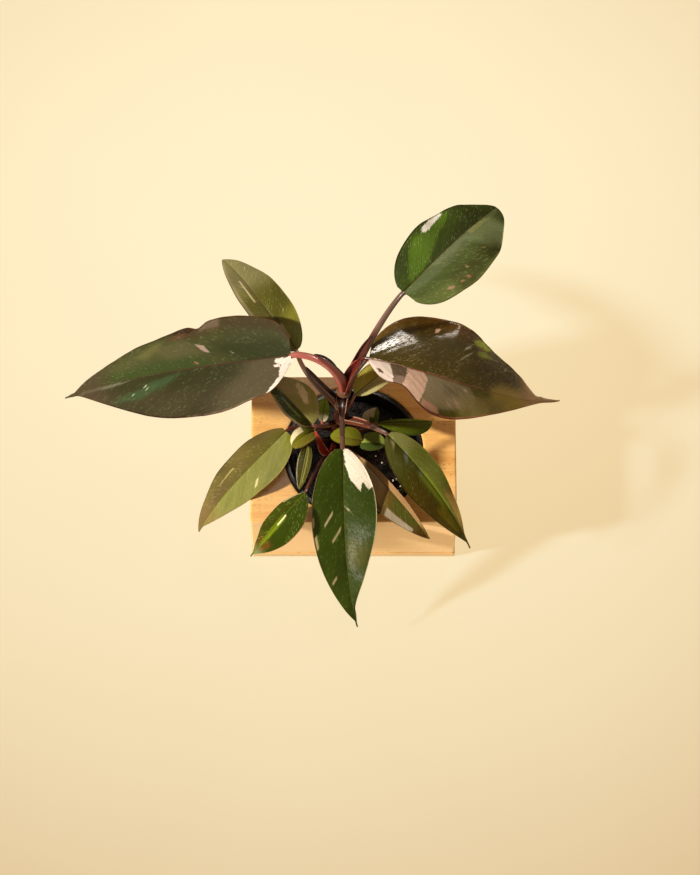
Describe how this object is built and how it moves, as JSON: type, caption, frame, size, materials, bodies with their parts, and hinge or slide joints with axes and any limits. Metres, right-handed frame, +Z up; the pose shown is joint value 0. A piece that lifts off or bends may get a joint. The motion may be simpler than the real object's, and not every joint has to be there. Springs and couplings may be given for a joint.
{
  "type": "potted philodendron in a wooden planter block",
  "caption": "Young potted philodendron with dark variegated leaves on red stalks, in a black nursery pot set in a drilled wooden block that stands on its flat base.",
  "frame": {"origin": "middle of the base board's underside", "axes": "+X to the right seen from the front, along the block's long side, +Y to the back, +Z up"},
  "size_m": [0.3656, 0.28, 0.1895],
  "materials": {
    "board_wood": "satin",
    "block_wood": "satin",
    "pot_plastic": "satin",
    "soil": "rough damp soil",
    "stem": "satin bark",
    "new_leaf": "waxy",
    "leaf_dark": "waxy gloss",
    "leaf_green": "waxy satin",
    "leaf_olive": "waxy satin",
    "leaf_young": "waxy satin"
  },
  "bodies": {
    "root": {"base_board": "board_wood", "planter_block": "block_wood", "nursery_pot": "pot_plastic", "soil": "soil", "main_stem": "stem", "new_leaf_sheath": "new_leaf", "leaf_left_large": "leaf_dark", "leaf_back_right": "leaf_green", "leaf_right_large": "leaf_dark", "leaf_back_left": "leaf_olive", "leaf_front": "leaf_green", "leaf_front_right": "leaf_green", "leaf_left_low": "leaf_olive", "leaf_front_left": "leaf_green", "leaf_right_folded": "leaf_olive", "leaf_left_inner": "leaf_dark", "leaf_back_inner": "leaf_young", "leaf_small_upright": "leaf_young", "leaf_small_left": "leaf_young", "leaf_small_hanging": "leaf_olive", "leaf_small_right": "leaf_green", "leaf_tiny_back": "leaf_young", "leaf_small_centre": "leaf_young", "leaf_small_oval": "leaf_green"}
  },
  "joints": []
}
